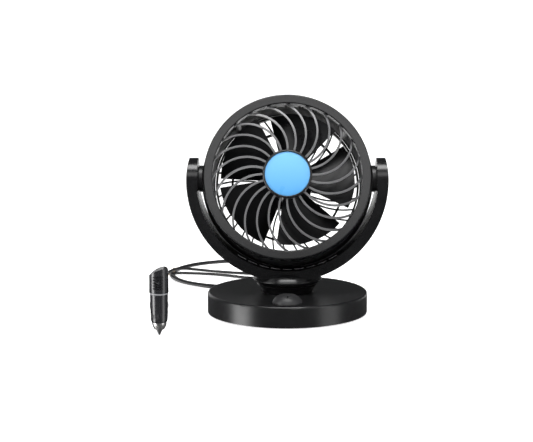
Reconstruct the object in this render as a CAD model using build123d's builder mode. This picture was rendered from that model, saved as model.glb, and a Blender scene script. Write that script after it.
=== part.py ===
from build123d import *
import math
import os

# A 12 V table and dashboard fan. Millimetres, +Z up, the front faces -Y and the origin is
# at the middle of the underside, on the surface that the fan stands on.

# ---- driving dimensions ----
BASE_R = 79.25          # round base
BASE_TOP = 21.6         # top face of the base
PAD_T = 1.5             # soft foot under the base
PLATE_T = 3.0           # bottom plate
WALL = 2.4              # wall of the base cover
NECK_FOOT_R = 24.8      # flared neck
NECK_TOP_R = 30.4
NECK_FOOT_Z = 20.4
NECK_TOP_Z = 30.2
SPINDLE_R = 9.0         # hollow swivel spindle
COVER_HOLE_R = 18.0     # hole in the cover over the swivel's nut
FIT = 0.05              # radial running fit of pins, shafts and the spindle

PIVOT_Z = 133.5         # tilt axis
TILT = 18.0             # upward tilt of the head at rest, degrees
YOKE_OUT_R = 98.0       # yoke, about the tilt axis seen from the front
YOKE_IN_R = 88.0
YOKE_BOTTOM = 31.2
ARM_R = 20.6            # round ends of the yoke's arms
ARM_IN_X = 87.2
PIN_R = 4.0             # tilt pins

HEAD_R = 84.6           # largest radius of the head
OPENING_R = 73.1        # opening of the bezel
GRILLE_BARS = 24
GUARD_BARS = 36
SHELL_BACK = -33.5      # back of the rear shell along the head's axis
IMPELLER_R = 66.5       # impeller, 133 mm across its tips
BLADES = 5
BLADE_H = -5.0           # middle of the blades along the head's axis
SHAFT_R = 1.5

KNOB = (0, -61.7)       # speed knob on the base
KNOB_R = 14.3
KNOB_TOP = 30.2

CORD_R = 1.6
COIL = (-56, 195)       # middle of the coiled lead
COIL_OUT = 87.0
COIL_IN = 74.0
COIL_Z = (0.8, 7.6)

PLUG = (-117.6, -101)   # 12 V plug, standing on its tip
PLUG_EXIT_Z = 55.0
RELIEF_END_Y = -76.5    # end of the plug's strain relief
GLAND_END_Y = 97.25     # end of the gland behind the base
GLAND_Z = 9.0

os.makedirs("parts", exist_ok=True)

# ---- the head's own frame: its axis points forward and up by TILT ----
SIN = math.sin(math.radians(TILT))
COS = math.cos(math.radians(TILT))
HEAD_AXIS = Axis((0, 0, PIVOT_Z), (0, -COS, SIN))
HEAD = Plane(origin=(0, 0, PIVOT_Z), x_dir=(1, 0, 0), z_dir=(0, -COS, SIN))
HEAD_HALF = Plane(origin=(0, 0, PIVOT_Z), x_dir=(1, 0, 0), z_dir=(0, -SIN, -COS))
SIDE = Plane(origin=(0, 0, PIVOT_Z), x_dir=(0, 1, 0), z_dir=(1, 0, 0))
FRONT = Plane.XZ
UP = Axis.Z


def save(part, name):
    """Labels a finished sub-part and writes it."""
    part.label = name
    export_step(part, f"parts/{name}.step")


def polar(radius, degrees):
    """A point of a plane at that radius and angle."""
    angle = math.radians(degrees)
    return (radius * math.cos(angle), radius * math.sin(angle))


# ==================================================================
# Base
# ==================================================================
SCREW_SPOTS = [polar(64, a) for a in (45, 135, 225, 315)]

with BuildPart() as base_cover:
    with BuildSketch(Plane.XZ):
        with BuildLine():
            Polyline(
                (COVER_HOLE_R, BASE_TOP - WALL),
                (BASE_R - WALL, BASE_TOP - WALL),
                (BASE_R - WALL, PAD_T),
                (BASE_R, PAD_T),
                (BASE_R, BASE_TOP - 2),
            )
            RadiusArc((BASE_R, BASE_TOP - 2), (BASE_R - 2, BASE_TOP), -2)
            Polyline(
                (BASE_R - 2, BASE_TOP),
                (NECK_FOOT_R + 1.6, BASE_TOP),
                (NECK_FOOT_R + 1.2, NECK_FOOT_Z),
                (COVER_HOLE_R, NECK_FOOT_Z),
                (COVER_HOLE_R, BASE_TOP - WALL),
            )
        make_face()
    revolve(axis=UP)
    with BuildSketch(Plane.XY.offset(PAD_T + PLATE_T)):
        with Locations(*SCREW_SPOTS):
            Circle(4)
    extrude(until=Until.NEXT)
    with BuildSketch(Plane.XY.offset(PAD_T + PLATE_T)):
        with Locations(*SCREW_SPOTS):
            Circle(1.45)
    extrude(amount=9.5, mode=Mode.SUBTRACT)
    with BuildSketch(Plane.XY.offset(BASE_TOP)):
        with Locations(KNOB):
            Circle(3.5)
    extrude(amount=-2 * WALL, mode=Mode.SUBTRACT)
    with BuildSketch(Plane(origin=(0, BASE_R, GLAND_Z), z_dir=(0, 1, 0))):
        Circle(3.6)
    extrude(amount=-2 * WALL, mode=Mode.SUBTRACT)
save(base_cover.part, "base_cover")

with BuildPart() as base_plate:
    with BuildSketch(Plane.XY.offset(PAD_T)):
        Circle(BASE_R - WALL - 0.2)
    extrude(amount=PLATE_T)
    with Locations(*[(x, y, PAD_T) for x, y in SCREW_SPOTS]):
        with Locations(Rotation(180, 0, 0)):
            CounterBoreHole(1.6, 3.1, 1.9, PLATE_T)
save(base_plate.part, "base_plate")

with BuildPart() as foot_pad:
    with BuildSketch():
        Circle(74)
        Circle(40, mode=Mode.SUBTRACT)
        with Locations(*SCREW_SPOTS):
            Circle(4.5, mode=Mode.SUBTRACT)
    extrude(amount=PAD_T)
save(foot_pad.part, "foot_pad")

with BuildPart() as ballast_disc:
    with BuildSketch(Plane.XY.offset(PAD_T + PLATE_T)):
        Circle(50)
        Circle(22, mode=Mode.SUBTRACT)
    extrude(amount=4)
    fillet(ballast_disc.edges().group_by(Axis.Z)[-1], 0.8)
save(ballast_disc.part, "ballast_disc")

with BuildPart() as base_screws:
    with BuildSketch(Plane.XY.offset(PAD_T + 0.1)):
        with Locations(*SCREW_SPOTS):
            Circle(2.9)
    extrude(amount=1.8)
    with BuildSketch(Plane.XY.offset(PAD_T + 0.1)):
        with Locations(*SCREW_SPOTS):
            Circle(1.4)
    extrude(amount=11.5)
    with BuildSketch(Plane.XY.offset(PAD_T + 0.1)):
        with Locations(*SCREW_SPOTS):
            RectangleRounded(3.4, 0.7, 0.3)
            RectangleRounded(0.7, 3.4, 0.3)
    extrude(amount=1.0, mode=Mode.SUBTRACT)
save(base_screws.part, "base_screws")

with BuildPart() as neck_collar:
    with BuildSketch(Plane.XZ):
        with BuildLine():
            neck_side = ThreePointArc((NECK_FOOT_R, NECK_FOOT_Z), (26.8, 25.6), (NECK_TOP_R, NECK_TOP_Z - 0.6))
            Polyline(
                neck_side @ 1,
                (NECK_TOP_R - 0.6, NECK_TOP_Z),
                (SPINDLE_R + FIT, NECK_TOP_Z),
                (SPINDLE_R + FIT, NECK_TOP_Z - 3),
                (NECK_TOP_R - 3, NECK_TOP_Z - 3),
                (NECK_FOOT_R - 3.2, NECK_FOOT_Z),
                neck_side @ 0,
            )
        make_face()
    revolve(axis=UP)
save(neck_collar.part, "neck_collar")

with BuildPart() as swivel_washer:
    with BuildSketch(Plane.XY.offset(NECK_TOP_Z)):
        Circle(20)
        Circle(SPINDLE_R + 0.5, mode=Mode.SUBTRACT)
    extrude(amount=0.7)
save(swivel_washer.part, "swivel_washer")

with BuildPart() as switch_body:
    with BuildSketch(Plane.XY.offset(9)):
        with Locations(KNOB):
            RectangleRounded(20, 14, 1.2)
    extrude(amount=BASE_TOP - WALL - 9.4)
    with BuildSketch(Plane.XY.offset(9)):
        with Locations((KNOB[0] - 5, KNOB[1]), (KNOB[0], KNOB[1]), (KNOB[0] + 5, KNOB[1])):
            Rectangle(2.2, 0.6)
    extrude(amount=-3.2)
    with BuildSketch(Plane.XY.offset(BASE_TOP)):
        with Locations(KNOB):
            Circle(3 + FIT)
    extrude(amount=-9, mode=Mode.SUBTRACT)
save(switch_body.part, "switch_body")

with BuildPart() as cord_gland:
    with BuildSketch(Plane.YZ):
        with BuildLine():
            Polyline(
                (BASE_R - WALL - 1.8, GLAND_Z + 2.2),
                (BASE_R - WALL - 1.8, GLAND_Z + 4.3),
                (BASE_R - WALL - 0.3, GLAND_Z + 4.3),
                (BASE_R - WALL - 0.3, GLAND_Z + 3.5),
                (BASE_R + 0.2, GLAND_Z + 3.5),
                (BASE_R + 0.2, GLAND_Z + 5.2),
                (BASE_R + 2.2, GLAND_Z + 4.8),
                (GLAND_END_Y, GLAND_Z + 2.5),
                (GLAND_END_Y, GLAND_Z),
                (GLAND_END_Y - 3, GLAND_Z),
                (GLAND_END_Y - 3, GLAND_Z + 1.6),
                (BASE_R - WALL - 1.8, GLAND_Z + 1.6),
                (BASE_R - WALL - 1.8, GLAND_Z + 2.2),
            )
        make_face()
    revolve(axis=Axis((0, 0, GLAND_Z), (0, 1, 0)))
    for i in range(4):
        rib_y = BASE_R + 4.4 + 3.2 * i
        with BuildSketch(Plane(origin=(0, rib_y, GLAND_Z), z_dir=(0, 1, 0))):
            Circle(6)
            Circle(2.15, mode=Mode.SUBTRACT)
        extrude(amount=1.3, mode=Mode.SUBTRACT)
save(cord_gland.part, "cord_gland")

# ==================================================================
# Speed knob: turns on the switch
# ==================================================================
with BuildPart() as knob:
    with BuildSketch(Plane(origin=(*KNOB, 0), x_dir=(1, 0, 0), z_dir=(0, -1, 0))):
        with BuildLine():
            knob_side = Polyline((3.05, BASE_TOP + 0.4), (KNOB_R, BASE_TOP + 0.4), (KNOB_R, BASE_TOP + 1.6))
            knob_dome = ThreePointArc(
                knob_side @ 1, (KNOB_R - 2.6, KNOB_TOP - 3.1), (KNOB_R - 6.6, KNOB_TOP - 0.5)
            )
            crown = ThreePointArc(knob_dome @ 1, (4.6, KNOB_TOP - 0.1), (1.5, KNOB_TOP))
            Polyline(crown @ 1, (0, KNOB_TOP), (0, KNOB_TOP - 3.2), (3.05, KNOB_TOP - 3.2), knob_side @ 0)
        make_face()
    revolve(axis=Axis((*KNOB, 0), (0, 0, 1)))
    with BuildSketch(Plane(origin=(*KNOB, KNOB_TOP), x_dir=(1, 0, 0), z_dir=(0, 0, 1))):
        with Locations((0, -8.6)):
            SlotOverall(5.6, 1.3, rotation=90)
    extrude(amount=-1.9, mode=Mode.SUBTRACT)
save(knob.part, "knob")

with BuildPart() as switch_shaft:
    with BuildSketch(Plane(origin=(*KNOB, BASE_TOP - 8.4))):
        Circle(3)
    extrude(amount=13.8)
    with BuildSketch(Plane(origin=(*KNOB, BASE_TOP + 0.6))):
        with Locations((0, 2.9)):
            Rectangle(6, 1.6)
    extrude(amount=5, mode=Mode.SUBTRACT)
save(switch_shaft.part, "switch_shaft")

# ==================================================================
# Yoke: swivels on the neck
# ==================================================================
POCKET_R = 16.9

with BuildPart() as yoke:
    # the front outline: half a ring and the two arm ends
    with BuildSketch(FRONT):
        with Locations((0, PIVOT_Z)):
            Circle(YOKE_OUT_R)
        with Locations((0, PIVOT_Z)):
            Circle(YOKE_IN_R, mode=Mode.SUBTRACT)
        with Locations((0, PIVOT_Z + 60)):
            Rectangle(240, 120, mode=Mode.SUBTRACT)
        with Locations((-ARM_IN_X - 5.5, PIVOT_Z), (ARM_IN_X + 5.5, PIVOT_Z)):
            Rectangle(11, 2 * ARM_R + 4)
    extrude(amount=40, both=True)
    # the side outline: round arm ends on a band that widens towards the neck
    with BuildSketch(SIDE):
        Circle(ARM_R)
        with BuildLine():
            Polyline(
                (-ARM_R, 0), (ARM_R, 0), (27.5, YOKE_BOTTOM - PIVOT_Z - 5),
                (-27.5, YOKE_BOTTOM - PIVOT_Z - 5), (-ARM_R, 0),
            )
        make_face()
    extrude(amount=120, both=True, mode=Mode.INTERSECT)
    # the outside of each arm keeps the ring's radius; the back of the band follows the head
    with BuildSketch(FRONT):
        with Locations((0, PIVOT_Z)):
            Circle(YOKE_OUT_R + 40)
            Circle(YOKE_OUT_R, mode=Mode.SUBTRACT)
    extrude(amount=40, both=True, mode=Mode.SUBTRACT)
    # the round belly over the neck
    with BuildSketch(Plane.XZ):
        with BuildLine():
            under = Polyline((0, YOKE_BOTTOM), (31, YOKE_BOTTOM), (33.2, 33.5))
            edge = ThreePointArc(under @ 1, (34.0, 33.9), (34.2, 34.7))
            skirt = ThreePointArc(edge @ 1, (30.6, 39.2), (24.0, 43.8))
            Polyline(skirt @ 1, (0, 43.8), (0, YOKE_BOTTOM))
        make_face()
    revolve(axis=UP)
    # pockets for the pin heads, and the pins' holes
    for side in (-1, 1):
        with BuildSketch(Plane(origin=(side * 92.5, 0, PIVOT_Z), z_dir=(side, 0, 0))):
            Circle(POCKET_R)
        extrude(amount=10, mode=Mode.SUBTRACT)
        with BuildSketch(Plane(origin=(side * 93, 0, PIVOT_Z), z_dir=(-side, 0, 0))):
            Circle(PIN_R + FIT)
        extrude(amount=20, mode=Mode.SUBTRACT)
    # the seat of the swivel spindle
    with BuildSketch(Plane.XY.offset(YOKE_BOTTOM - 1)):
        Circle(SPINDLE_R + FIT)
    extrude(amount=20, mode=Mode.SUBTRACT)
    with BuildSketch(Plane.XY.offset(37)):
        Circle(13.4)
    extrude(amount=20, mode=Mode.SUBTRACT)
save(yoke.part, "yoke")

with BuildPart() as swivel_spindle:
    with BuildSketch(Plane.XZ):
        with BuildLine():
            Polyline(
                (6, 13), (SPINDLE_R, 13), (SPINDLE_R, 37), (13, 37), (13, 40.5), (6, 40.5), (6, 13)
            )
        make_face()
    revolve(axis=UP)
save(swivel_spindle.part, "swivel_spindle")

with BuildPart() as swivel_nut:
    with BuildSketch(Plane.XY.offset(17.5)):
        RegularPolygon(13.5, 6, major_radius=False)
        Circle(SPINDLE_R + 0.02, mode=Mode.SUBTRACT)
    extrude(amount=5.5)
save(swivel_nut.part, "swivel_nut")

with BuildPart() as swivel_spring_washer:
    with BuildSketch(Plane.XZ):
        with BuildLine():
            Polyline((SPINDLE_R + 0.4, 23.4), (16, 25.4), (16, 26.4), (SPINDLE_R + 0.4, 24.4), (SPINDLE_R + 0.4, 23.4))
        make_face()
    revolve(axis=UP)
save(swivel_spring_washer.part, "swivel_spring_washer")

with BuildPart() as tilt_pins:
    for side in (-1, 1):
        with BuildSketch(Plane(origin=(side * 79.5, 0, PIVOT_Z), z_dir=(side, 0, 0))):
            Circle(PIN_R)
        extrude(amount=13.1)
        with BuildSketch(Plane(origin=(side * 92.6, 0, PIVOT_Z), z_dir=(side, 0, 0))):
            Circle(6.5)
        extrude(amount=2.4)
        with BuildSketch(Plane(origin=(side * 95, 0, PIVOT_Z), z_dir=(-side, 0, 0))):
            RectangleRounded(6, 1.1, 0.4)
            RectangleRounded(1.1, 6, 0.4)
        extrude(amount=1.4, mode=Mode.SUBTRACT)
save(tilt_pins.part, "tilt_pins")

with BuildPart() as friction_washers:
    for side in (-1, 1):
        with BuildSketch(Plane(origin=(side * 86.3, 0, PIVOT_Z), z_dir=(side, 0, 0))):
            Circle(12)
            Circle(PIN_R + 0.3, mode=Mode.SUBTRACT)
        extrude(amount=ARM_IN_X - 86.3)
save(friction_washers.part, "friction_washers")

for side, name in ((-1, "arm_cap_left"), (1, "arm_cap_right")):
    with BuildPart() as arm_cap:
        with BuildSketch(Plane(origin=(0, 0, PIVOT_Z), x_dir=(side, 0, 0), z_dir=(0, -side, 0))):
            with BuildLine():
                cap_edge = Polyline((95.4, 0), (95.4, POCKET_R - 0.2), (96.9, POCKET_R - 0.2))
                cap_dome = ThreePointArc(cap_edge @ 1, (98.3, 10), (98.7, 1.5))
                Polyline(cap_dome @ 1, (98.7, 0), (95.4, 0))
            make_face()
        revolve(axis=Axis((0, 0, PIVOT_Z), (1, 0, 0)))
    save(arm_cap.part, name)

# ==================================================================
# Head: tilts in the yoke
# ==================================================================
POSTS = [polar(75.5, a) for a in (40.5, 130.5, 220.5, 310.5)]
POST_R = 2.3            # screw posts of the bezel
REAR_POST_R = 2.8       # and of the rear shell
SPLIT_H = 4.6           # where the bezel meets the rear shell

with BuildPart() as front_bezel:
    with BuildSketch(HEAD_HALF):
        with BuildLine():
            lip = RadiusArc((OPENING_R, 12.4), (OPENING_R + 1, 13.4), 1.1)
            face = Line(lip @ 1, (80.9, 13.2))
            corner = ThreePointArc(face @ 1, (81.7, 12.9), (82.0, 12.1))
            Polyline(
                corner @ 1, (82.6, SPLIT_H), (80.4, SPLIT_H), (80.0, 10.4), (79.3, 11.2), (74.8, 11.2),
                (74.8, 9.6), (OPENING_R, 9.6), lip @ 0,
            )
        make_face()
    revolve(axis=HEAD_AXIS)
    with BuildSketch(HEAD.offset(1)):
        with Locations(*POSTS):
            Circle(POST_R)
    extrude(amount=10.6)
    with BuildSketch(HEAD.offset(1)):
        with Locations(*POSTS):
            Circle(1.3)
    extrude(amount=6, mode=Mode.SUBTRACT)
save(front_bezel.part, "front_bezel")


def bar_line(inner, outer, start, sweep):
    """The middle line of one swirl bar: an arc that leaves the hub radially and leans over by sweep."""
    middle = polar((inner + outer) / 2, start + sweep * 0.25)
    return ThreePointArc(polar(inner, start), middle, polar(outer, start + sweep))


with BuildPart() as front_grille:
    # bars and rim seen along the axis
    with BuildSketch(HEAD):
        for k in range(GRILLE_BARS):
            with BuildLine():
                bar_line(21.5, 75.2, 360 / GRILLE_BARS * k, 33)
            trace(line_width=1.9)
    extrude(amount=40)
    # cut to the bowed surface
    with BuildSketch(HEAD_HALF):
        with BuildLine():
            bow = ThreePointArc((20.5, 21.5), (48, 17.4), (76.2, 7.2))
            under = ThreePointArc((76.2, 5.0), (48, 15.1), (20.5, 19.2))
            Line(bow @ 1, under @ 0)
            Line(under @ 1, bow @ 0)
        make_face()
    revolve(axis=HEAD_AXIS, mode=Mode.INTERSECT)
    # the rim that sits behind the bezel's lip, and the hub's seat
    with BuildSketch(HEAD.offset(5.2)):
        Circle(76.4)
        Circle(73.2, mode=Mode.SUBTRACT)
    extrude(amount=2.4)
    with BuildSketch(HEAD.offset(18.4)):
        Circle(23.6)
    extrude(amount=3.2)
    with BuildSketch(HEAD):
        with Locations(*POSTS):
            Circle(POST_R + 0.2)
    extrude(amount=12, mode=Mode.SUBTRACT)
save(front_grille.part, "front_grille")

with BuildPart() as hub_ring:
    with BuildSketch(HEAD_HALF):
        with BuildLine():
            ring_face = ThreePointArc((24, 23.6), (23.5, 25.0), (22, 25.2))
            Polyline(ring_face @ 1, (22, 21.6), (24, 21.6), ring_face @ 0)
        make_face()
    revolve(axis=HEAD_AXIS)
save(hub_ring.part, "hub_ring")

with BuildPart() as hub_badge:
    with BuildSketch(HEAD_HALF):
        with BuildLine():
            dome = ThreePointArc((21.8, 24.1), (12, 24.9), (1.5, 25.2))
            Polyline(dome @ 1, (0, 25.2), (0, 21.6), (21.8, 21.6), dome @ 0)
        make_face()
    revolve(axis=HEAD_AXIS)
save(hub_badge.part, "hub_badge")

with BuildPart() as rear_shell:
    with BuildSketch(HEAD_HALF):
        with BuildLine():
            Polyline(
                (77.9, 5.8), (79.3, 5.8), (79.6, SPLIT_H - 0.2), (82.7, SPLIT_H - 0.2),
                (HEAD_R - 0.1, -9), (HEAD_R, -20), (83.9, -24.6), (82.4, -29.2),
            )
            back_edge = ThreePointArc((82.4, -29.2), (81.0, -32.2), (78.6, SHELL_BACK))
            Polyline(
                back_edge @ 1, (72.6, SHELL_BACK), (72.6, SHELL_BACK + 2.2), (78.2, SHELL_BACK + 2.2),
                (80.4, -29), (82.0, -23), (82.0, -9), (80.2, 0.5), (77.9, 2.0), (77.9, 5.8),
            )
        make_face()
    revolve(axis=HEAD_AXIS)
    # ribs along the inside of the wall
    with BuildSketch(HEAD.offset(-29)):
        with PolarLocations(80.3, 36):
            Rectangle(3.4, 1.2)
    extrude(amount=28)
    # bosses of the tilt axis
    for side in (-1, 1):
        with BuildSketch(Plane(origin=(side * 79.6, 0, PIVOT_Z), z_dir=(side, 0, 0))):
            Circle(13)
        extrude(amount=86.2 - 79.6)
    with BuildSketch(HEAD.offset(SPLIT_H - 0.2)):
        Circle(83.1)
        Circle(79.5, mode=Mode.SUBTRACT)
    extrude(amount=20, mode=Mode.SUBTRACT)
    # screw posts
    with BuildSketch(HEAD.offset(SHELL_BACK + 1)):
        with Locations(*POSTS):
            Circle(REAR_POST_R)
    extrude(amount=0.9 - SHELL_BACK - 1)
    with BuildSketch(HEAD.offset(SHELL_BACK)):
        with Locations(*POSTS):
            Circle(1.35)
    extrude(amount=40, mode=Mode.SUBTRACT)
    with BuildSketch(HEAD.offset(SHELL_BACK)):
        with Locations(*POSTS):
            Circle(2.3)
    extrude(amount=2.0, mode=Mode.SUBTRACT)
    for side in (-1, 1):
        with BuildSketch(Plane(origin=(side * 90, 0, PIVOT_Z), z_dir=(-side, 0, 0))):
            Circle(PIN_R + FIT)
        extrude(amount=14, mode=Mode.SUBTRACT)
    # air slots round the back edge
    for angle in range(5, 365, 10):
        x, y = polar(82, angle)
        normal = (x / 82, y / 82 * SIN, y / 82 * COS)
        centre = HEAD.offset(-27.6).from_local_coords((x, y, 0))
        with BuildSketch(Plane(origin=centre, x_dir=(0, -COS, SIN), z_dir=normal)):
            SlotOverall(9.4, 2.6, rotation=90)
        extrude(amount=4, both=True, mode=Mode.SUBTRACT)
save(rear_shell.part, "rear_shell")

with BuildPart() as rear_guard:
    with BuildSketch(HEAD.offset(-60)):
        for k in range(GUARD_BARS):
            with BuildLine():
                bar_line(24, 71.6, 360 / GUARD_BARS * k, 10)
            trace(line_width=1.5)
    extrude(amount=40)
    with BuildSketch(HEAD_HALF):
        with BuildLine():
            outer = ThreePointArc((24, -48.2), (54, -42.6), (75.6, -33.7))
            inner = ThreePointArc((75.6, -31.4), (54, -40.3), (24, -45.9))
            Line(outer @ 1, inner @ 0)
            Line(inner @ 1, outer @ 0)
        make_face()
    revolve(axis=HEAD_AXIS, mode=Mode.INTERSECT)
    # rim, middle ring and motor cup
    with BuildSketch(HEAD_HALF):
        with BuildLine():
            Polyline((69.9, -35.9), (72.0, -35.2), (72.0, -31.0), (69.9, -31.0), (69.9, -35.9))
        make_face()
        with BuildLine():
            Polyline((54.6, -42.7), (56.8, -42.0), (56.8, -39.6), (54.6, -40.3), (54.6, -42.7))
        make_face()
        with BuildLine():
            cup = Polyline((0, -50.2), (22.6, -50.2), (22.6, -38), (24.6, -38), (24.6, -50.6))
            cup_edge = ThreePointArc(cup @ 1, (24.0, -51.8), (22.6, -52.2))
            Polyline(cup_edge @ 1, (0, -52.2), (0, -50.2))
        make_face()
    revolve(axis=HEAD_AXIS)
    with BuildSketch(HEAD.offset(-53)):
        with PolarLocations(9.5, 3, start_angle=90):
            Circle(1.3)
    extrude(amount=4, mode=Mode.SUBTRACT)
save(rear_guard.part, "rear_guard")

with BuildPart() as motor_can:
    with BuildSketch(HEAD_HALF):
        with BuildLine():
            Polyline(
                (18, -50.1), (18, -17), (5.6, -17), (5.6, -14.4), (4.0, -14.4), (4.0, -18.2),
                (16.8, -18.2), (16.8, -50.1), (18, -50.1),
            )
        make_face()
    revolve(axis=HEAD_AXIS)
save(motor_can.part, "motor_can")

with BuildPart() as motor_end_cap:
    with BuildSketch(HEAD_HALF):
        with BuildLine():
            Polyline((4.0, -50.1), (16.7, -50.1), (16.7, -46.6), (4.0, -46.6), (4.0, -50.1))
        make_face()
    revolve(axis=HEAD_AXIS)
    with BuildSketch(HEAD.offset(-51)):
        with PolarLocations(9.5, 3, start_angle=90):
            Circle(1.15)
    extrude(amount=4, mode=Mode.SUBTRACT)
save(motor_end_cap.part, "motor_end_cap")

with BuildPart() as motor_magnets:
    with BuildSketch(HEAD.offset(-43)):
        Circle(16.7)
        Circle(14.3, mode=Mode.SUBTRACT)
        Rectangle(6, 40, mode=Mode.SUBTRACT)
    extrude(amount=21)
save(motor_magnets.part, "motor_magnets")

with BuildPart() as motor_bearings:
    with BuildSketch(HEAD_HALF):
        with Locations(((4 + SHAFT_R + FIT) / 2, -16.3), ((4 + SHAFT_R + FIT) / 2, -48.35)):
            Rectangle(4 - SHAFT_R - FIT, 3.4)
    revolve(axis=HEAD_AXIS)
save(motor_bearings.part, "motor_bearings")

with BuildPart() as motor_screws:
    with BuildSketch(HEAD.offset(-53.5)):
        with PolarLocations(9.5, 3, start_angle=90):
            Circle(2.5)
    extrude(amount=1.3)
    with BuildSketch(HEAD.offset(-53.5)):
        with PolarLocations(9.5, 3, start_angle=90):
            Circle(1.1)
    extrude(amount=6.5)
    with BuildSketch(HEAD.offset(-53.5)):
        with PolarLocations(9.5, 3, start_angle=90):
            Rectangle(3, 0.6)
            Rectangle(0.6, 3)
    extrude(amount=0.8, mode=Mode.SUBTRACT)
save(motor_screws.part, "motor_screws")

with BuildPart() as head_screws:
    with BuildSketch(HEAD.offset(SHELL_BACK + 0.4)):
        with Locations(*POSTS):
            Circle(2.2)
    extrude(amount=1.6)
    with BuildSketch(HEAD.offset(SHELL_BACK + 0.4)):
        with Locations(*POSTS):
            Circle(1.25)
    extrude(amount=38)
    with BuildSketch(HEAD.offset(SHELL_BACK + 0.4)):
        with Locations(*POSTS):
            Rectangle(2.8, 0.6)
            Rectangle(0.6, 2.8)
    extrude(amount=0.9, mode=Mode.SUBTRACT)
save(head_screws.part, "head_screws")

# ==================================================================
# Rotor: spins in the head
# ==================================================================
with BuildPart() as motor_shaft:
    with BuildSketch(HEAD.offset(-49.9)):
        Circle(SHAFT_R)
    extrude(amount=62)
save(motor_shaft.part, "motor_shaft")

with BuildPart() as armature:
    with BuildSketch(HEAD.offset(-41)):
        Circle(13.6)
        with PolarLocations(10.2, 5):
            Rectangle(7, 2.2, mode=Mode.SUBTRACT)
        with PolarLocations(8.6, 5):
            Circle(2.6, mode=Mode.SUBTRACT)
        Circle(SHAFT_R + 0.01, mode=Mode.SUBTRACT)
    extrude(amount=17)
    with BuildSketch(HEAD.offset(-45.6)):
        Circle(4.2)
        Circle(SHAFT_R + 0.01, mode=Mode.SUBTRACT)
    extrude(amount=4.6)
save(armature.part, "armature")


def blade_arcs(chord, pitch, camber, thick):
    """The end, the middles of both faces and the other end of a blade's section, tipped up by its pitch."""
    angle = math.radians(pitch)
    ends = [(-chord / 2, 0), (0, camber + thick / 2), (0, camber - thick / 2), (chord / 2, 0)]
    return [
        (u * math.cos(angle) - v * math.sin(angle), u * math.sin(angle) + v * math.cos(angle))
        for u, v in ends
    ]


with BuildPart() as impeller:
    # blades: lofted outwards, cut round at the tips
    for k in range(BLADES):
        turn = 360 / BLADES * k + 3
        ux, uy = polar(1, turn)
        radial = Vector(ux, uy * SIN, uy * COS)
        tangent = Vector(-uy, ux * SIN, ux * COS)
        for distance, chord, pitch in ((15, 25, 38), (66, 80, 17)):
            centre = HEAD.from_local_coords((distance * ux, distance * uy, BLADE_H))
            lead_edge, upper, lower, trail_edge = blade_arcs(chord, -pitch, 2.6, 2.0)
            with BuildSketch(Plane(origin=centre, x_dir=tangent, z_dir=radial)):
                with BuildLine():
                    ThreePointArc(lead_edge, upper, trail_edge)
                    ThreePointArc(lead_edge, lower, trail_edge)
                make_face()
        loft(ruled=True)
    with BuildSketch(HEAD.offset(-30)):
        Circle(IMPELLER_R)
        Circle(17, mode=Mode.SUBTRACT)
    extrude(amount=60, mode=Mode.INTERSECT)
    # hub cup
    with BuildSketch(HEAD_HALF):
        with BuildLine():
            front = Polyline((SHAFT_R + 0.01, -6), (SHAFT_R + 0.01, 10.4), (4, 10.4))
            crown = ThreePointArc(front @ 1, (15, 9.4), (20.6, 5.4))
            Polyline(
                crown @ 1, (20.6, -11.6), (18.8, -11.6), (18.8, 4.6), (4.6, 8.2), (4.6, -6),
                (SHAFT_R + 0.01, -6),
            )
        make_face()
    revolve(axis=HEAD_AXIS)
save(impeller.part, "impeller")

with BuildPart() as impeller_clip:
    with BuildSketch(HEAD.offset(10.45)):
        RegularPolygon(3.4, 6, major_radius=False)
        Circle(SHAFT_R + 0.01, mode=Mode.SUBTRACT)
    extrude(amount=1.4)
save(impeller_clip.part, "impeller_clip")

# ==================================================================
# 12 V plug, standing on its tip
# ==================================================================
PLUG_AXIS = Axis((*PLUG, 0), (0, 0, 1))
PLUG_HALF = Plane(origin=(*PLUG, 0), x_dir=(1, 0, 0), z_dir=(0, -1, 0))
PLUG_FLAT = Plane(origin=(*PLUG, 0))
CONTACT_Z = (23.5, 33.5)

with BuildPart() as plug_body:
    with BuildSketch(PLUG_HALF):
        with BuildLine():
            Polyline(
                (3.6, 12.8), (7.0, 12.8), (7.6, 14.0), (8.05, 20.5), (8.25, 39), (7.2, 39), (7.2, 44),
                (5.4, 44), (5.4, 20), (3.6, 18), (3.6, 12.8),
            )
        make_face()
    revolve(axis=PLUG_AXIS)
    with BuildSketch(PLUG_FLAT.offset(13.4)):
        with PolarLocations(8.5, 14, start_angle=7):
            Circle(0.75)
    extrude(amount=7.6, mode=Mode.SUBTRACT)
    for side in (-1, 1):
        with BuildSketch(Plane(origin=(PLUG[0] + side * 4, PLUG[1], sum(CONTACT_Z) / 2), x_dir=(0, 1, 0), z_dir=(side, 0, 0))):
            Rectangle(3.4, CONTACT_Z[1] - CONTACT_Z[0] + 0.4)
        extrude(amount=6, mode=Mode.SUBTRACT)
save(plug_body.part, "plug_body")

with BuildPart() as plug_collar:
    with BuildSketch(PLUG_FLAT.offset(39.1)):
        Circle(8.75)
        Circle(7.3, mode=Mode.SUBTRACT)
    extrude(amount=1.4)
    fillet(plug_collar.edges().filter_by(GeomType.CIRCLE).group_by(SortBy.RADIUS)[-1], 0.3)
save(plug_collar.part, "plug_collar")

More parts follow.
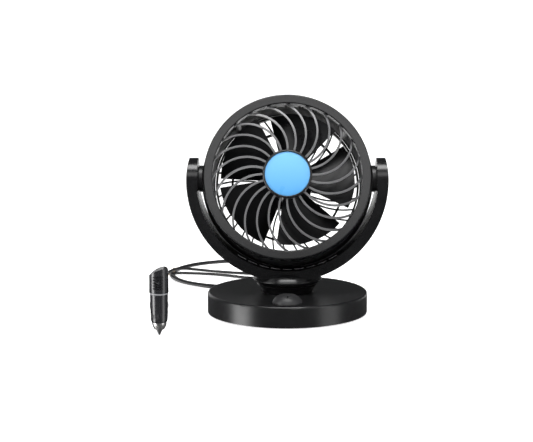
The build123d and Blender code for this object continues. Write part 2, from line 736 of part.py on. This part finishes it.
with BuildPart() as plug_cap:
    with BuildSketch(PLUG_FLAT.offset(40.6)):
        Circle(8.9)
    extrude(amount=30)
    # the slanted, rounded top
    with BuildSketch(Plane.XZ.offset(-PLUG[1] + 20)):
        with BuildLine():
            left, right = PLUG[0] - 8.9, PLUG[0] + 8.9
            top = Polyline((left - 3, 38), (left - 3, 52), (left, 56.2))
            slope = ThreePointArc(top @ 1, (PLUG[0] - 3.4, 60.4), (PLUG[0] + 4.4, 63.2))
            shoulder = ThreePointArc(slope @ 1, (PLUG[0] + 7.2, 62.6), (right, 60.2))
            Polyline(shoulder @ 1, (right + 3, 56), (right + 3, 38), (left - 3, 38))
        make_face()
    extrude(amount=-40, mode=Mode.INTERSECT)
    with BuildSketch(PLUG_FLAT.offset(40.6)):
        Circle(7.3)
    extrude(amount=12.2, mode=Mode.SUBTRACT)
    # grip grooves on the front
    for i in range(5):
        with BuildSketch(Plane.XZ.offset(-PLUG[1] + 12)):
            with Locations((PLUG[0], 45.2 + 2.6 * i)):
                SlotOverall(9.6, 1.25)
        extrude(amount=-5.1, mode=Mode.SUBTRACT)
    # cable opening at the back
    with BuildSketch(Plane(origin=(PLUG[0], PLUG[1] + 4, PLUG_EXIT_Z), z_dir=(0, 1, 0))):
        Circle(3.3)
    extrude(amount=8, mode=Mode.SUBTRACT)
save(plug_cap.part, "plug_cap")

with BuildPart() as plug_relief:
    with BuildSketch(Plane(origin=(PLUG[0], 0, 0), x_dir=(0, 1, 0), z_dir=(1, 0, 0))):
        with BuildLine():
            Polyline(
                (PLUG[1] + 4.2, PLUG_EXIT_Z), (PLUG[1] + 4.2, PLUG_EXIT_Z + 3.2),
                (PLUG[1] + 9.4, PLUG_EXIT_Z + 3.2), (RELIEF_END_Y, PLUG_EXIT_Z + 2.2),
                (RELIEF_END_Y, PLUG_EXIT_Z), (PLUG[1] + 4.2, PLUG_EXIT_Z),
            )
        make_face()
    revolve(axis=Axis((PLUG[0], 0, PLUG_EXIT_Z), (0, 1, 0)))
    for i in range(4):
        with BuildSketch(Plane(origin=(PLUG[0], PLUG[1] + 11.4 + 3.0 * i, PLUG_EXIT_Z), z_dir=(0, 1, 0))):
            Circle(6)
            Circle(2.0, mode=Mode.SUBTRACT)
        extrude(amount=1.2, mode=Mode.SUBTRACT)
save(plug_relief.part, "plug_relief")

with BuildPart() as nose_ring:
    with BuildSketch(PLUG_HALF):
        with BuildLine():
            nose = Polyline((3.4, 6.2), (4.6, 6.2))
            nose_side = ThreePointArc(nose @ 1, (6.1, 9.2), (6.75, 12.0))
            Polyline(nose_side @ 1, (6.75, 12.7), (3.4, 12.7), nose @ 0)
        make_face()
    revolve(axis=PLUG_AXIS)
save(nose_ring.part, "nose_ring")

with BuildPart() as plug_tip:
    with BuildSketch(PLUG_HALF):
        with BuildLine():
            tip_end = ThreePointArc((0, 0.2), (0.35, 0.3), (0.6, 0.6))
            Polyline(
                tip_end @ 1, (2.9, 5.2), (3.3, 6.4), (3.3, 13.2), (3.35, 13.2), (3.35, 15.4), (0, 15.4), (0, 0.2)
            )
        make_face()
    revolve(axis=PLUG_AXIS)
save(plug_tip.part, "plug_tip")

with BuildPart() as plug_fuse:
    with BuildSketch(PLUG_FLAT.offset(20.2)):
        Circle(3.1)
    extrude(amount=30)
save(plug_fuse.part, "plug_fuse")

for side, name in ((-1, "side_contact_left"), (1, "side_contact_right")):
    with BuildPart() as side_contact:
        with BuildSketch(Plane(origin=(PLUG[0], PLUG[1] - 1.5, 0), x_dir=(side, 0, 0), z_dir=(0, side, 0))):
            with BuildLine():
                low, high = CONTACT_Z
                leaf = ThreePointArc((7.6, -low), (8.5, -(low + high) / 2), (7.6, -high))
                Polyline(leaf @ 1, (6.4, -high), (6.4, -low), leaf @ 0)
            make_face()
        extrude(amount=3 * side)
    save(side_contact.part, name)

# ==================================================================
# Lead: one tube from the base to the coil, the coil, and one tube on to the plug
# ==================================================================
BASE_ROUTE = [
    (0, GLAND_END_Y, GLAND_Z), (-1.5, 109, 10.2), (-10, 124, 10.4), (-24, 141, 8.0), (-42, 160, 2.8),
    (-64, 180, 1.8), (-88, 192, 1.7), (-110, 190, 2.2), (-126, 179, 3.4), (-134, 167, 4.2),
]
PLUG_ROUTE = [
    (-18, 124, 4.2), (-4, 133.5, 4.2), (8, 148, 3.4), (10, 166, 2.2), (-1, 181, 1.8), (-22, 189, 1.7),
    (-48, 195, 1.8), (-76, 204, 1.7), (-102, 203, 4.4), (-122, 187, 9.4), (-133, 163, 10.0),
    (-140, 134, 5.6), (-143, 102, 2.2), (-142, 66, 1.8), (-137, 32, 1.7), (-131, 4, 2.2),
    (-125.5, -18, 6.0), (-122, -33, 15.0), (-120, -41, 28.0), (-118.8, -49, 41.0), (-118, -60, 51.5),
    (-117.7, -68.5, 54.6), (PLUG[0], RELIEF_END_Y, PLUG_EXIT_Z),
]


def corner_radii(points):
    """The largest arc that the two runs at each corner allow."""
    radii = []
    for before, here, after in zip(points, points[1:], points[2:]):
        first = Vector(here) - Vector(before)
        second = Vector(after) - Vector(here)
        half_turn = math.radians(first.get_angle(second)) / 2
        radii.append(0.45 * min(first.length, second.length) / math.tan(half_turn))
    return radii


for name, route in (("cord_lead_base", BASE_ROUTE), ("cord_lead_plug", PLUG_ROUTE)):
    radii = corner_radii(route)
    with BuildPart() as lead:
        with BuildLine() as path:
            FilletPolyline(*route, radius=radii)
        wire = path.wires()[0]
        with BuildSketch(Plane(origin=wire @ 0, z_dir=wire % 0)):
            Circle(CORD_R)
        sweep(path=wire)
    save(lead.part, name)

with BuildPart() as cord_coil:
    with BuildSketch(Plane(origin=(*COIL, COIL_Z[0]))):
        Circle(COIL_OUT)
        Circle(COIL_IN, mode=Mode.SUBTRACT)
    extrude(amount=COIL_Z[1] - COIL_Z[0])
    fillet(cord_coil.edges(), 2.5)
save(cord_coil.part, "cord_coil")

with BuildPart() as cord_tie:
    tie_x = COIL[0] - (COIL_OUT + COIL_IN) / 2
    with BuildSketch(Plane(origin=(tie_x, COIL[1] + 4, 0), x_dir=(1, 0, 0), z_dir=(0, -1, 0))):
        with Locations((0, 4.3)):
            RectangleRounded(14.8, 8.4, 3.0)
            RectangleRounded(13.6, 7.2, 2.4, mode=Mode.SUBTRACT)
    extrude(amount=3, both=True)
    with BuildSketch(Plane(origin=(tie_x + 1, COIL[1] + 4, 8.2))):
        Circle(1.1)
    extrude(amount=9, taper=4)
save(cord_tie.part, "cord_tie")
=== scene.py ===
"""Looks of a small dashboard fan: round base, tilting head in a swivelling yoke, lead with a lighter plug."""

import math

import bmesh
import bpy
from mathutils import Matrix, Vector


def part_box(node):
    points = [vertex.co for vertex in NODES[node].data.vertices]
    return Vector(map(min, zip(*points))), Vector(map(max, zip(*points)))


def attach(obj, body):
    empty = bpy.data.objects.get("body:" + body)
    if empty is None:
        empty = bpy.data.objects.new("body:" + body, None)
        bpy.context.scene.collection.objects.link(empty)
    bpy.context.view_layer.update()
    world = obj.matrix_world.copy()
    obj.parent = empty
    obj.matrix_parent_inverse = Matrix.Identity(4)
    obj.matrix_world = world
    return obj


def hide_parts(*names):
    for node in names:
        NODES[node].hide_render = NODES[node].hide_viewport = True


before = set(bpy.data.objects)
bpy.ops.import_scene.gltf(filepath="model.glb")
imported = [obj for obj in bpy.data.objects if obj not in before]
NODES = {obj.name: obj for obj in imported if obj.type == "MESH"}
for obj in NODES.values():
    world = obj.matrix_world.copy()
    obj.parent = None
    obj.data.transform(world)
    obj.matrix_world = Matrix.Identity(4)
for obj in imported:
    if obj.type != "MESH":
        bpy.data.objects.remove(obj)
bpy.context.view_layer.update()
scene = bpy.context.scene
scene.view_settings.view_transform = "Standard"
MM = 0.001
PIVOT_Z = 0.1335      # tilt axis of the head
TILT = 18             # how far the head leans back at rest, degrees


# ---------------------------------------------------------------- camera
CAMERA_Y = -1.243
CAMERA_Z = 0.275
CAMERA_PITCH = 8.4
camera_data = bpy.data.cameras.new("camera")
camera_data.sensor_width = 36
camera_data.lens = 85.9
camera_data.shift_x = -0.0392
camera = bpy.data.objects.new("camera", camera_data)
camera.location = (0, CAMERA_Y, CAMERA_Z)
camera.rotation_euler = (math.radians(90 - CAMERA_PITCH), 0, 0)
scene.collection.objects.link(camera)
scene.camera = camera


# ---------------------------------------------------------------- cord
CORD_D = 0.0032
COIL_CENTRE = (-56, 195)
TO_COIL = [
    (0, 97.25, 9), (-1.5, 109, 10.2), (-10, 124, 10.4), (-24, 141, 8), (-42, 160, 2.8),
    (-64, 180, 1.8), (-88, 192, 1.7), (-110, 190, 3.0), (-126, 179, 5.2),
]
COIL_START = 200
COIL_TURNS = 2.27
POINTS_PER_TURN = 14
# radius and height of the turns, against the number of turns already laid
COIL_LAY = [
    (0.0, 83.5, 5.7), (0.07, 85.0, 3.8), (0.14, 87.0, 1.7), (0.5, 88.0, 1.7), (0.75, 85.5, 1.7),
    (0.9, 79.6, 1.7), (0.97, 79.4, 1.7), (1.15, 82.6, 1.7), (1.5, 82.8, 1.7), (1.75, 80.0, 1.7),
    (1.9, 76.1, 1.7), (1.97, 76.0, 1.7), (2.12, 77.2, 1.7), (2.3, 77.5, 1.7),
]
FROM_COIL = [
    (-6, 135.8, 1.7), (5.2, 150, 1.7), (9, 166, 1.7), (-1, 181, 1.8), (-22, 189, 1.7),
    (-48, 195, 1.8), (-76, 204, 1.7), (-102, 203, 4.4), (-122, 187, 9.6), (-133, 163, 10.6),
    (-140, 134, 5.8), (-143, 102, 2.2), (-142, 66, 1.8), (-137, 32, 1.7), (-131, 4, 2.2),
    (-125.5, -18, 6), (-122, -33, 15), (-120, -41, 28), (-118.8, -49, 41), (-118, -60, 51.5),
    (-117.7, -68.5, 54.6), (-117.6, -76.5, 55),
]


def between(table, at):
    """Values of a table of rows (key, a, b) at a key, straight between its rows."""
    for low, high in zip(table, table[1:]):
        if at <= high[0]:
            part = (at - low[0]) / (high[0] - low[0])
            return [a + (b - a) * part for a, b in zip(low[1:], high[1:])]
    return list(table[-1][1:])


coil = []
for k in range(round(COIL_TURNS * POINTS_PER_TURN) + 1):
    laid = k / POINTS_PER_TURN
    radius, height = between(COIL_LAY, laid)
    angle = math.radians(COIL_START + 360 * laid)
    x = COIL_CENTRE[0] + radius * math.cos(angle)
    y = COIL_CENTRE[1] + radius * math.sin(angle)
    coil.append((x, y, height))

route = TO_COIL + coil + FROM_COIL
cord_curve = bpy.data.curves.new("power_cord", "CURVE")
cord_curve.dimensions = "3D"
cord_spline = cord_curve.splines.new("NURBS")
cord_spline.points.add(len(route) - 1)
for point, place in zip(cord_spline.points, route):
    point.co = (*[MM * value for value in place], 1)
    point.radius = CORD_D / 2
cord_spline.order_u = 3
cord_spline.use_endpoint_u = True
cord_curve.resolution_u = 10
cord_curve.bevel_depth = 1.0
cord_curve.bevel_resolution = 5
cord_curve.use_fill_caps = True
cord = bpy.data.objects.new("power_cord", cord_curve)
scene.collection.objects.link(cord)
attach(cord, "base")
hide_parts("cord_lead_base", "cord_coil", "cord_lead_plug")


# ---------------------------------------------------------------- mesh helpers
def piece(name, mesh_maker, body):
    """A new piece from a function that fills a bmesh."""
    mesh = bpy.data.meshes.new(name)
    made = bmesh.new()
    mesh_maker(made)
    bmesh.ops.recalc_face_normals(made, faces=made.faces)
    made.to_mesh(mesh)
    made.free()
    for face in mesh.polygons:
        face.use_smooth = True
    obj = bpy.data.objects.new(name, mesh)
    scene.collection.objects.link(obj)
    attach(obj, body)
    return obj


def sweep(made, line, section):
    """A tube of a flat section (across, up) along a line of (place, across, up)."""
    rings = []
    for place, across, up in line:
        rings.append([made.verts.new(place + across * a + up * b) for a, b in section])
    count = len(section)
    for first, second in zip(rings, rings[1:]):
        for i in range(count):
            j = (i + 1) % count
            made.faces.new((first[i], first[j], second[j], second[i]))
    made.faces.new(rings[0][::-1])
    made.faces.new(rings[-1])


def oval(width, height, corners=12):
    """A rounded flat section."""
    points = []
    for k in range(corners):
        turn = 2 * math.pi * k / corners
        c, s = math.cos(turn), math.sin(turn)
        points.append((
            width / 2 * math.copysign(abs(c) ** 0.6, c),
            height / 2 * math.copysign(abs(s) ** 0.6, s),
        ))
    return points


# ---------------------------------------------------------------- twist tie round the coil
TIE_PLACE = Vector((-133.5, 199, 0)) * MM
TIE_HALF = (3.8 * MM, 2.1 * MM)
TIE_Z = 1.85 * MM
TIE_WRAPS = 4
TIE_PITCH = 2.9 * MM
TIE_STRIP = (0.45 * MM, 2.3 * MM)      # thickness and width of the strip on the wraps
WRAP_STEPS = 24
TAIL_STRIP = (1.7 * MM, 0.5 * MM)
TAIL_STEPS = 40
TAIL_TWISTS = 2.5
TAIL_TWISTED = 0.7                     # share of a tail that is twisted; its end stands free
TAIL_APART = 0.75 * MM
TAIL_SPLAY = 9 * MM
TAIL_RISE = Vector((4.5, -6.5, 5.5)) * MM
TAIL_FOOT = Vector((0, 0, 0.4)) * MM
TIE_SIDE = Vector((1, 0.05, 0)).normalized()
TIE_ALONG = Vector((-0.05, 1, 0)).normalized()


def wrap_point(turn):
    """A place on the wraps and the way out from the bundle there; turn in whole wraps."""
    angle = 2 * math.pi * turn
    c, s = math.cos(angle), math.sin(angle)
    side = TIE_HALF[0] * math.copysign(abs(c) ** 0.7, c)
    rise = TIE_HALF[1] * math.copysign(abs(s) ** 0.7, s)
    along = TIE_PITCH * (turn - TIE_WRAPS / 2)
    place = TIE_PLACE + TIE_SIDE * side + TIE_ALONG * along + Vector((0, 0, TIE_Z + rise))
    out = (TIE_SIDE * (c / TIE_HALF[0]) + Vector((0, 0, s / TIE_HALF[1]))).normalized()
    return place, out


def tie_mesh(made):
    """Paper-covered wire wound round the coil, its ends twisted together on top."""
    line = []
    for k in range(TIE_WRAPS * WRAP_STEPS + 1):
        place, out = wrap_point(0.25 + k / WRAP_STEPS)
        line.append((place, out, TIE_ALONG))
    sweep(made, line, oval(*TIE_STRIP))
    top = wrap_point(TIE_WRAPS / 2 + 0.25)[0]
    for side in (0, math.pi):
        line = []
        for k in range(TAIL_STEPS + 1):
            part = k / TAIL_STEPS
            turn = side + 2 * math.pi * TAIL_TWISTS * min(part / TAIL_TWISTED, 1)
            apart = TAIL_APART + max(0, part - TAIL_TWISTED) * TAIL_SPLAY
            out = Vector((math.cos(turn), math.sin(turn), 0))
            across = Vector((-math.sin(turn), math.cos(turn), 0))
            line.append((top + TAIL_FOOT + TAIL_RISE * part + out * apart, across, out))
        sweep(made, line, oval(*TAIL_STRIP))


twist_tie = piece("twist_tie", tie_mesh, "base")
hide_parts("cord_tie")


# ---------------------------------------------------------------- painted glints inside the yoke: pale strips standing in for dashes of light
YOKE_INSIDE = 88.0 * MM
GLINT_STRIPS = 9
GLINT_STEP = 7.6        # degrees from one strip to the next
GLINT_ARC = 6.0         # degrees that one strip covers
GLINT_BENDS = 6
GLINT_Y = -14.5 * MM
GLINT_SUNK = 0.05 * MM
GLINT_STRIP = (1.8 * MM, 0.4 * MM)


def painted_glints_mesh(made):
    """A row of thin pale strips inside the yoke's ring, under the head: painted glints for the dashes of
    light seen there. What they are is a guess.
    """
    centre = Vector((0, GLINT_Y, PIVOT_Z))
    for k in range(GLINT_STRIPS):
        middle = math.radians(270 + GLINT_STEP * (k - (GLINT_STRIPS - 1) / 2))
        line = []
        for j in range(GLINT_BENDS + 1):
            turn = middle + math.radians(GLINT_ARC * (j / GLINT_BENDS - 0.5))
            out = Vector((math.cos(turn), 0, math.sin(turn)))
            line.append((centre + out * (YOKE_INSIDE - GLINT_SUNK), Vector((0, 1, 0)), out))
        sweep(made, line, oval(*GLINT_STRIP))


yoke_painted_glints = piece("yoke_painted_glints", painted_glints_mesh, "yoke")


# ---------------------------------------------------------------- materials
def new_material(name, colour, rough, metallic=0.0, specular=0.5):
    material = bpy.data.materials.new(name)
    material.use_nodes = True
    tree = material.node_tree
    shader = tree.nodes["Principled BSDF"]
    shader.inputs["Base Color"].default_value = (*colour, 1)
    shader.inputs["Roughness"].default_value = rough
    shader.inputs["Metallic"].default_value = metallic
    shader.inputs["Specular IOR Level"].default_value = specular
    return material, tree, shader


def noise(tree, scale, detail=3.0, rough=0.5, stretch=None):
    """A noise texture in object space, with the scale per metre."""
    place = tree.nodes.new("ShaderNodeTexCoord")
    texture = tree.nodes.new("ShaderNodeTexNoise")
    texture.inputs["Scale"].default_value = scale
    texture.inputs["Detail"].default_value = detail
    texture.inputs["Roughness"].default_value = rough
    if stretch:
        mapping = tree.nodes.new("ShaderNodeMapping")
        mapping.inputs["Scale"].default_value = stretch
        tree.links.new(place.outputs["Object"], mapping.inputs["Vector"])
        tree.links.new(mapping.outputs["Vector"], texture.inputs["Vector"])
    else:
        tree.links.new(place.outputs["Object"], texture.inputs["Vector"])
    return texture.outputs["Fac"]


def spread(tree, source, low, high, start=0.3, end=0.7):
    """A source between 0 and 1 mapped to low..high."""
    mapper = tree.nodes.new("ShaderNodeMapRange")
    mapper.inputs["From Min"].default_value = start
    mapper.inputs["From Max"].default_value = end
    mapper.inputs["To Min"].default_value = low
    mapper.inputs["To Max"].default_value = high
    tree.links.new(source, mapper.inputs["Value"])
    return mapper.outputs["Result"]


def two_colours(tree, shader, source, first, second):
    mix = tree.nodes.new("ShaderNodeMix")
    mix.data_type = "RGBA"
    mix.inputs["A"].default_value = (*first, 1)
    mix.inputs["B"].default_value = (*second, 1)
    tree.links.new(source, mix.inputs["Factor"])
    tree.links.new(mix.outputs["Result"], shader.inputs["Base Color"])


def grain(tree, shader, source, strength, distance):
    bump = tree.nodes.new("ShaderNodeBump")
    bump.inputs["Strength"].default_value = strength
    bump.inputs["Distance"].default_value = distance
    tree.links.new(source, bump.inputs["Height"])
    tree.links.new(bump.outputs["Normal"], shader.inputs["Normal"])


def moulded(name, colour, rough, specular=0.5, texture=900, depth=0.12, wave=0.04):
    """Injection-moulded plastic: fine spark texture, uneven gloss and faint handling marks."""
    material, tree, shader = new_material(name, colour, rough, specular=specular)
    fine = noise(tree, texture, 2.0)
    broad = noise(tree, 28, 4.0, 0.6)
    lighter = tuple(min(1, value * 1.25 + 0.002) for value in colour)
    two_colours(tree, shader, spread(tree, broad, 0, 1), colour, lighter)
    tree.links.new(spread(tree, broad, rough - wave, rough + wave), shader.inputs["Roughness"])
    grain(tree, shader, fine, depth, 0.00006)
    return material


def metal(name, colour, rough, stretch, wave=0.06, texture=220):
    """Plated or turned metal: fine tooling lines and uneven polish."""
    material, tree, shader = new_material(name, colour, rough, metallic=1.0)
    lines = noise(tree, texture, 3.0, 0.6, stretch)
    broad = noise(tree, 60, 3.0)
    darker = tuple(value * 0.82 for value in colour)
    two_colours(tree, shader, spread(tree, broad, 0, 1), colour, darker)
    tree.links.new(spread(tree, lines, rough - wave, rough + wave), shader.inputs["Roughness"])
    grain(tree, shader, lines, 0.08, 0.00005)
    return material


GLOSS = moulded("gloss_black", (0.005, 0.005, 0.0055), 0.24, specular=0.5, depth=0.02, wave=0.02)
BASE_GLOSS = moulded("base_black", (0.006, 0.006, 0.0065), 0.3, specular=0.45, depth=0.015, wave=0.015)
SATIN = moulded("satin_black", (0.007, 0.007, 0.0075), 0.36, specular=0.45, depth=0.06, wave=0.03)
GRILLE = moulded("grille_grey", (0.115, 0.115, 0.118), 0.30, specular=0.5, depth=0.06)
GUARD = moulded("guard_black", (0.006, 0.006, 0.0065), 0.34, specular=0.4, depth=0.05)
BLADE = moulded("blade_black", (0.003, 0.003, 0.0035), 0.3, specular=0.15, depth=0.02)
PLUG = moulded("plug_plastic", (0.012, 0.012, 0.014), 0.26, specular=0.8, depth=0.008, wave=0.01)
PLUG_LIGHT = moulded("plug_collar_grey", (0.22, 0.22, 0.23), 0.3, specular=0.5, depth=0.05)
KNOB = moulded("knob_grey", (0.022, 0.022, 0.023), 0.42, specular=0.35, depth=0.06)
RUBBER = moulded("foot_rubber", (0.012, 0.012, 0.012), 0.65, specular=0.25, texture=500, depth=0.4)
JACKET = moulded("cord_jacket", (0.009, 0.009, 0.0095), 0.34, specular=0.45, texture=1400, depth=0.15)
TIE = moulded("tie_paper", (0.42, 0.31, 0.18), 0.5, specular=0.3, texture=1800, depth=0.3)
NYLON = moulded("nylon", (0.62, 0.59, 0.52), 0.45, depth=0.1)
STEEL = metal("steel", (0.55, 0.55, 0.57), 0.3, (1, 1, 8))
SCREW = metal("screw_steel", (0.42, 0.42, 0.44), 0.32, (1, 1, 4))
IRON = metal("iron", (0.24, 0.21, 0.19), 0.45, (1, 6, 1))
# painted glints: a pale grey for the strips that stand in for dashes of light inside the yoke
PAINTED_GLINT = moulded("painted_glint_grey", (0.35, 0.35, 0.36), 0.5, specular=0.4, depth=0.05)
MAGNET = moulded("magnet", (0.05, 0.05, 0.05), 0.6, texture=1500, depth=0.3)
BRONZE = metal("bronze", (0.5, 0.34, 0.17), 0.4, (1, 1, 1))
NICKEL = metal("nickel", (0.80, 0.79, 0.78), 0.34, (1, 1, 10), wave=0.05)


def badge_material():
    """Printed blue disc with a soft vertical fade of painted light: lighter at its top, a painted shade
    deeper at its foot.
    """
    material, tree, shader = new_material("badge_blue", (0.16, 0.5, 0.87), 0.3, specular=0.25)
    low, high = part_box("hub_badge")
    place = tree.nodes.new("ShaderNodeTexCoord")
    split = tree.nodes.new("ShaderNodeSeparateXYZ")
    tree.links.new(place.outputs["Object"], split.inputs["Vector"])
    # painted light and shade: the disc is lighter at its top and darker at its foot, as light falls from
    # above
    painted_light_fade = spread(tree, split.outputs["Z"], 0, 1, low.z, high.z)
    two_colours(tree, shader, painted_light_fade, (0.085, 0.33, 0.66), (0.19, 0.50, 0.88))
    fine = noise(tree, 1200, 2.0)
    grain(tree, shader, fine, 0.04, 0.00005)
    tree.links.new(spread(tree, noise(tree, 40), 0.26, 0.34), shader.inputs["Roughness"])
    return material


def shell_material():
    """The rear shell: satin outside, with painted light on the air duct's wall between its ribs: a pale grey
    standing in for the light seen inside the duct.
    """
    name = "shell_black_painted_light"
    colour, painted_light_grey, rough = (0.007, 0.007, 0.0075), (0.22, 0.22, 0.22), 0.36
    material, tree, shader = new_material(name, colour, rough, specular=0.45)
    place = tree.nodes.new("ShaderNodeTexCoord")
    to_head = tree.nodes.new("ShaderNodeMapping")
    to_head.vector_type = "TEXTURE"
    to_head.inputs["Location"].default_value = (0, 0, PIVOT_Z)
    to_head.inputs["Rotation"].default_value = (math.radians(90 - TILT), 0, 0)
    tree.links.new(place.outputs["Object"], to_head.inputs["Vector"])
    split = tree.nodes.new("ShaderNodeSeparateXYZ")
    tree.links.new(to_head.outputs["Vector"], split.inputs["Vector"])
    flat = tree.nodes.new("ShaderNodeCombineXYZ")
    tree.links.new(split.outputs["X"], flat.inputs["X"])
    tree.links.new(split.outputs["Y"], flat.inputs["Y"])
    radius = tree.nodes.new("ShaderNodeVectorMath")
    radius.operation = "LENGTH"
    tree.links.new(flat.outputs["Vector"], radius.inputs[0])

    def window(source, low_from, low_to, high_from, high_to):
        rise = spread(tree, source, 0, 1, low_from, low_to)
        fall = spread(tree, source, 1, 0, high_from, high_to)
        both = tree.nodes.new("ShaderNodeMath")
        both.operation = "MULTIPLY"
        tree.links.new(rise, both.inputs[0])
        tree.links.new(fall, both.inputs[1])
        return both.outputs["Value"]

    ring = window(radius.outputs["Value"], 0.0735, 0.0740, 0.08225, 0.0824)
    depth = window(split.outputs["Z"], -0.0320, -0.0315, 0.001, 0.003)
    painted_light_mask = tree.nodes.new("ShaderNodeMath")
    painted_light_mask.operation = "MULTIPLY"
    tree.links.new(ring, painted_light_mask.inputs[0])
    tree.links.new(depth, painted_light_mask.inputs[1])
    # painted light: the duct's inner wall gets a pale grey, standing in for light seen inside the duct
    two_colours(tree, shader, painted_light_mask.outputs["Value"], colour, painted_light_grey)
    broad = noise(tree, 28, 4.0, 0.6)
    tree.links.new(spread(tree, broad, rough - 0.03, rough + 0.03), shader.inputs["Roughness"])
    grain(tree, shader, noise(tree, 900, 2.0), 0.06, 0.00006)
    return material


def glass_material():
    material, tree, shader = new_material("fuse_glass", (0.9, 0.92, 0.92), 0.06, specular=0.5)
    shader.inputs["Transmission Weight"].default_value = 0.9
    tree.links.new(spread(tree, noise(tree, 90), 0.04, 0.1), shader.inputs["Roughness"])
    return material


LOOKS = {
    GLOSS: ["front_bezel", "hub_ring", "arm_cap_left", "arm_cap_right", "yoke"],
    BASE_GLOSS: ["base_cover", "neck_collar"],
    shell_material(): ["rear_shell"],
    SATIN: ["base_plate", "switch_body", "plug_relief", "cord_gland", "motor_end_cap"],
    GRILLE: ["front_grille"],
    GUARD: ["rear_guard"],
    BLADE: ["impeller"],
    PLUG: ["plug_body", "plug_cap"],
    PLUG_LIGHT: ["plug_collar"],
    KNOB: ["knob"],
    RUBBER: ["foot_pad", "friction_washers"],
    NYLON: ["swivel_washer", "impeller_clip", "switch_shaft"],
    STEEL: ["motor_can", "motor_shaft", "swivel_nut", "swivel_spring_washer", "tilt_pins", "swivel_spindle"],
    SCREW: ["base_screws", "motor_screws", "head_screws"],
    IRON: ["ballast_disc", "armature"],
    MAGNET: ["motor_magnets"],
    BRONZE: ["motor_bearings"],
    NICKEL: ["nose_ring", "plug_tip", "side_contact_left", "side_contact_right"],
    badge_material(): ["hub_badge"],
    glass_material(): ["plug_fuse"],
}
for material, names in LOOKS.items():
    for name in names:
        obj = NODES[name]
        obj.data.materials.clear()
        obj.data.materials.append(material)
cord_curve.materials.append(JACKET)
twist_tie.data.materials.append(TIE)
yoke_painted_glints.data.materials.append(PAINTED_GLINT)


# ---------------------------------------------------------------- floor, light
def ground_profile():
    """The pale sheet the object stands on, seen from the side: flat, then swept up behind."""
    bend, back, top = 0.8, 1.6, 3.2
    profile = [(-3.0, 0.0), (0.1, 0.0), (back, 0.0)]
    for k in range(1, 17):
        turn = math.pi / 2 * k / 16
        profile.append((back + bend * math.sin(turn), bend - bend * math.cos(turn)))
    return profile + [(back + bend, top)]


def ground(name, profile, in_reflections):
    half = 4.0
    made = bmesh.new()
    rows = [[made.verts.new((x, y, z)) for x in (-half, half)] for y, z in profile]
    for low_row, high_row in zip(rows, rows[1:]):
        made.faces.new((low_row[0], low_row[1], high_row[1], high_row[0]))
    mesh = bpy.data.meshes.new(name)
    made.to_mesh(mesh)
    made.free()
    for face in mesh.polygons:
        face.use_smooth = True
    mesh.materials.append(PAPER)
    obj = bpy.data.objects.new(name, mesh)
    scene.collection.objects.link(obj)
    obj.visible_glossy = in_reflections


PAPER, _, paper_shader = new_material("paper", (0.86, 0.86, 0.86), 0.9, specular=0.1)
paper_shader.inputs["Emission Color"].default_value = (1, 1, 1, 1)
paper_shader.inputs["Emission Strength"].default_value = 0.8
ground_line = ground_profile()
ground("floor_front", ground_line[:2], False)
ground("floor_back", ground_line[1:3], True)
ground("backdrop", ground_line[2:], False)


def softbox(name, place, aim, size, power):
    light = bpy.data.lights.new(name, "AREA")
    light.shape = "RECTANGLE"
    light.size, light.size_y = size
    light.energy = power
    obj = bpy.data.objects.new(name, light)
    obj.location = place
    obj.rotation_euler = (Vector(aim) - Vector(place)).to_track_quat("-Z", "Y").to_euler()
    scene.collection.objects.link(obj)


CARD_LIFT = 0.05


def card(name, azimuth, elevation, size, strength, distance=2.0):
    """A bright board that only reflections see. Azimuth 0 is in front and 90 is on the right."""
    turn, lift = math.radians(azimuth), math.radians(elevation)
    level = math.cos(lift)
    place = distance * Vector((math.sin(turn) * level, -math.cos(turn) * level, math.sin(lift)))
    made = bmesh.new()
    corners = [(-1, -1), (1, -1), (1, 1), (-1, 1)]
    made.faces.new([made.verts.new((size[0] / 2 * a, size[1] / 2 * b, 0)) for a, b in corners])
    mesh = bpy.data.meshes.new(name)
    made.to_mesh(mesh)
    made.free()
    glow, _, shader = new_material(name, (0, 0, 0), 1.0, specular=0.0)
    shader.inputs["Emission Color"].default_value = (1, 1, 1, 1)
    shader.inputs["Emission Strength"].default_value = strength
    glow.cycles.emission_sampling = "NONE"
    mesh.materials.append(glow)
    obj = bpy.data.objects.new(name, mesh)
    obj.location = place + Vector((0, 0, CARD_LIFT))
    obj.rotation_euler = place.to_track_quat("Z", "Y").to_euler()
    scene.collection.objects.link(obj)
    obj.visible_camera = False
    obj.visible_diffuse = False
    obj.visible_shadow = False
    obj.visible_transmission = False


card("card_left", -68, -8, (0.85, 1.9), 7.5)
card("card_right", 62, -8, (1.0, 1.7), 1.9)
card("card_back", 204, 15, (0.9, 0.5), 1.6)
softbox("light_top", (0, -0.35, 1.3), (0, 0, 0.1), (0.9, 0.55), 15)
softbox("light_front", (0, -1.7, 1.2), (0, 0, 0.12), (1.6, 0.7), 8)
softbox("light_left", (-1.2, -0.5, 0.8), (0, 0, 0.1), (0.3, 0.8), 6)
softbox("light_right", (1.2, -0.6, 0.8), (0, 0, 0.1), (0.3, 0.8), 3)

world = bpy.data.worlds.new("studio")
scene.world = world
world.use_nodes = True
world.node_tree.nodes["Background"].inputs["Color"].default_value = (0.95, 0.97, 1.0, 1)
world.node_tree.nodes["Background"].inputs["Strength"].default_value = 0.07
